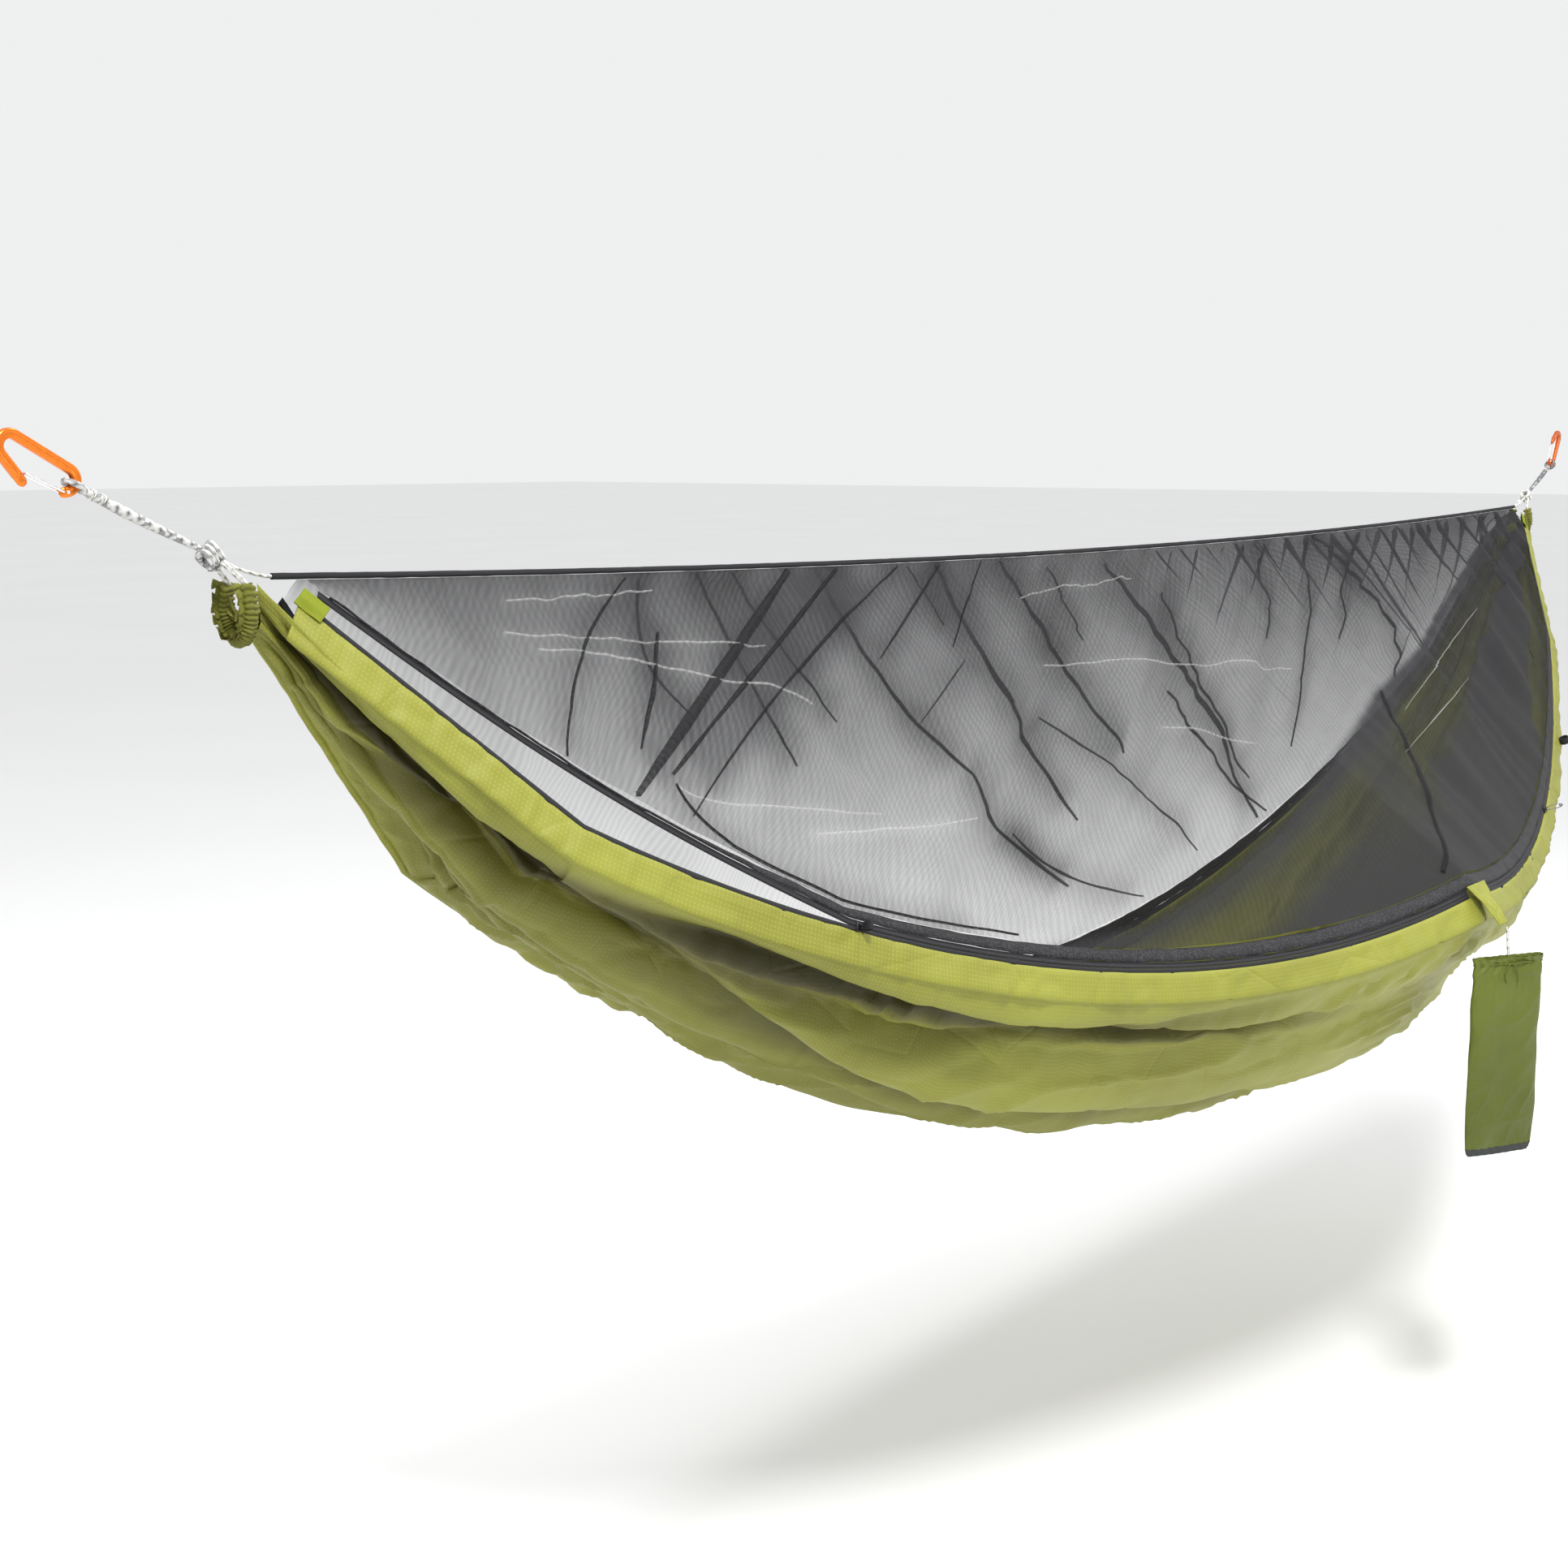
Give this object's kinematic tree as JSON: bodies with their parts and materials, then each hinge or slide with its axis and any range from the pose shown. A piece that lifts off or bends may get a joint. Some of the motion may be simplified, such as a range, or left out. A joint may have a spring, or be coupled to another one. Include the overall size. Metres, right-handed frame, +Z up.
{
  "type": "camping hammock",
  "caption": "Gathered-end camping hammock with a zip-on insect net, spliced rope ends, wire-gate carabiners and a stuff sack hanging from its rim.",
  "frame": {"origin": "seat of the left carabiner, where it hangs from its anchor", "axes": "+X to the right hang point, -Y to the near rim, +Z up"},
  "size_m": [3.1303, 0.7036, 0.8601],
  "materials": {
    "anodised_orange": "orange anodised forging",
    "gate_steel": "bright drawn wire",
    "rope_light": "light braided rope with dark flecks",
    "rope_dark": "dark braided rope with light flecks",
    "cord_white": "soft white cord",
    "insect_net": "fine knitted mesh",
    "net_tape": "dark binding",
    "zip_black": "coil zip on woven tape",
    "slider_black": "black enamel",
    "webbing_black": "woven webbing",
    "tab_lime": "bright plain weave",
    "nylon_green": "ripstop nylon, satin",
    "nylon_olive": "ripstop nylon, satin",
    "panel_grey": "plain weave"
  },
  "bodies": {
    "anchors": {"carabiner_left": "anodised_orange", "carabiner_right": "anodised_orange"},
    "gate_left": {"wire_gate_left": "gate_steel"},
    "gate_right": {"wire_gate_right": "gate_steel"},
    "hammock": {"suspension_rope_left": "rope_light", "suspension_rope_right": "rope_dark", "choker_knot_left": "cord_white", "choker_knot_right": "cord_white", "gather_cord_left": "cord_white", "gather_cord_right": "cord_white", "end_channel_left": "nylon_green", "end_channel_right": "nylon_green", "body_fabric": "nylon_green", "rim_hem_near_left": "nylon_green", "rim_hem_near_right": "nylon_green", "rim_hem_far": "nylon_green", "corner_dart": "nylon_green", "ridge_cord": "cord_white", "ridge_channel": "net_tape", "ridge_tie_left": "cord_white", "ridge_tie_right": "cord_white", "net_near": "insect_net", "net_far": "insect_net", "net_edge_strip_near": "net_tape", "net_edge_strip_far": "net_tape", "zip_tape_left_body": "zip_black", "zip_tape_left_net": "zip_black", "zip_tape_right_body": "zip_black", "zip_tape_right_net": "zip_black", "zip_tape_far_body": "zip_black", "zip_tape_far_net": "zip_black", "zip_garage_left": "tab_lime", "zip_garage_right": "tab_lime", "gear_loop": "webbing_black"},
    "slider_left": {"zip_slider_left": "slider_black"},
    "slider_right": {"zip_slider_right": "slider_black"},
    "slider_far": {"zip_slider_far": "slider_black"},
    "pull_left": {"pull_loop_left": "webbing_black"},
    "pull_right": {"pull_cord_right": "webbing_black"},
    "pull_far": {"pull_loop_far": "webbing_black"},
    "tether": {"sack_tether": "cord_white"},
    "sack": {"sack_drawcord": "nylon_olive", "sack_collar": "nylon_olive", "stuff_sack": "nylon_olive", "sack_bottom": "panel_grey"}
  },
  "joints": [
    {"name": "hammock_swing", "type": "hinge", "parent": "anchors", "child": "hammock", "pos_m": [0.05369, 0, -0.031], "axis": [1, 0, 0], "range_deg": [-25, 25], "stiffness_Nm_per_rad": 1, "springref_deg": -48.53},
    {"name": "gate_left_hinge", "type": "hinge", "parent": "anchors", "child": "gate_left", "pos_m": [0.04357, 0, -0.03519], "axis": [0, 1, 0], "range_deg": [0, 22], "stiffness_Nm_per_rad": 0.02, "springref_deg": -17.19},
    {"name": "gate_right_hinge", "type": "hinge", "parent": "anchors", "child": "gate_right", "pos_m": [3.07608, 0, -0.02088], "axis": [0, 1, 0], "range_deg": [0, 22], "stiffness_Nm_per_rad": 0.02, "springref_deg": -17.19},
    {"name": "zip_left_run", "type": "hinge", "parent": "hammock", "child": "slider_left", "pos_m": [1.40298, 0.174, 1.10617], "axis": [-0.2037, -0.916, 0.3457], "range_deg": [-8.44, 28.54]},
    {"name": "zip_right_run", "type": "hinge", "parent": "hammock", "child": "slider_right", "pos_m": [1.73098, 0.174, 1.10617], "axis": [-0.2037, 0.916, -0.3457], "range_deg": [-18.89, 18.09]},
    {"name": "zip_far_run", "type": "hinge", "parent": "hammock", "child": "slider_far", "pos_m": [1.56698, -0.301, 1.16817], "axis": [0, -0.9733, -0.2297], "range_deg": [-36.18, 31.84]},
    {"name": "pull_left_flip", "type": "hinge", "parent": "slider_left", "child": "pull_left", "pos_m": [0.67372, -0.24958, -0.43365], "axis": [-0.4149, -0.2391, -0.8779], "range_deg": [-75, 75]},
    {"name": "pull_right_flip", "type": "hinge", "parent": "slider_right", "child": "pull_right", "pos_m": [2.16576, -0.34523, -0.51359], "axis": [0.2472, -0.2936, -0.9234], "range_deg": [-75, 75]},
    {"name": "pull_far_flip", "type": "hinge", "parent": "slider_far", "child": "pull_far", "pos_m": [1.64032, 0.13936, -0.71584], "axis": [0.0379, 0.2296, -0.9726], "range_deg": [-75, 75]},
    {"name": "tether_swing", "type": "hinge", "parent": "hammock", "child": "tether", "pos_m": [1.56698, -0.514, -0.55483], "axis": [1, 0, 0], "range_deg": [-45, 0]},
    {"name": "sack_swing", "type": "hinge", "parent": "tether", "child": "sack", "pos_m": [1.56698, -0.518, -0.58883], "axis": [0, 1, 0], "range_deg": [-25, 25]}
  ]
}
